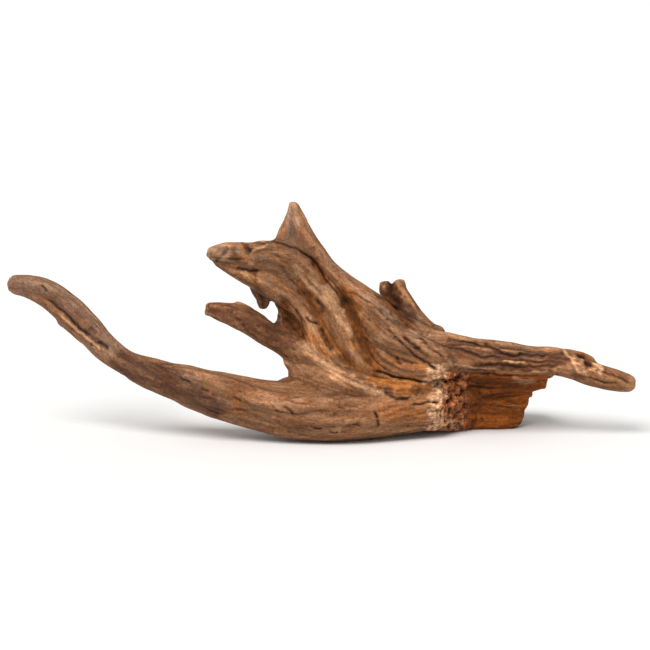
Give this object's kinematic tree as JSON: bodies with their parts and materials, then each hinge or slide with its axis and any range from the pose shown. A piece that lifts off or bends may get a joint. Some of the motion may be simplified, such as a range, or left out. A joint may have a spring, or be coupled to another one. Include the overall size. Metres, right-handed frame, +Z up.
{
  "type": "kapas root",
  "caption": "Weathered kapas root in one piece, with a long curved arm, a ridged fan with a horn and lobes, and a short broken arm over a broken foot.",
  "frame": {"origin": "centre of the bounding box in plan, on the surface that the root rests on", "axes": "+X along the root towards the short broken arm, +Y towards the back, +Z up"},
  "size_m": [0.4998, 0.103, 0.1884],
  "materials": {
    "weathered_root_wood": "dry, weathered bare wood with crevices and worn pale edges"
  },
  "bodies": {
    "root": {"kapas_root": "weathered_root_wood"}
  },
  "joints": []
}
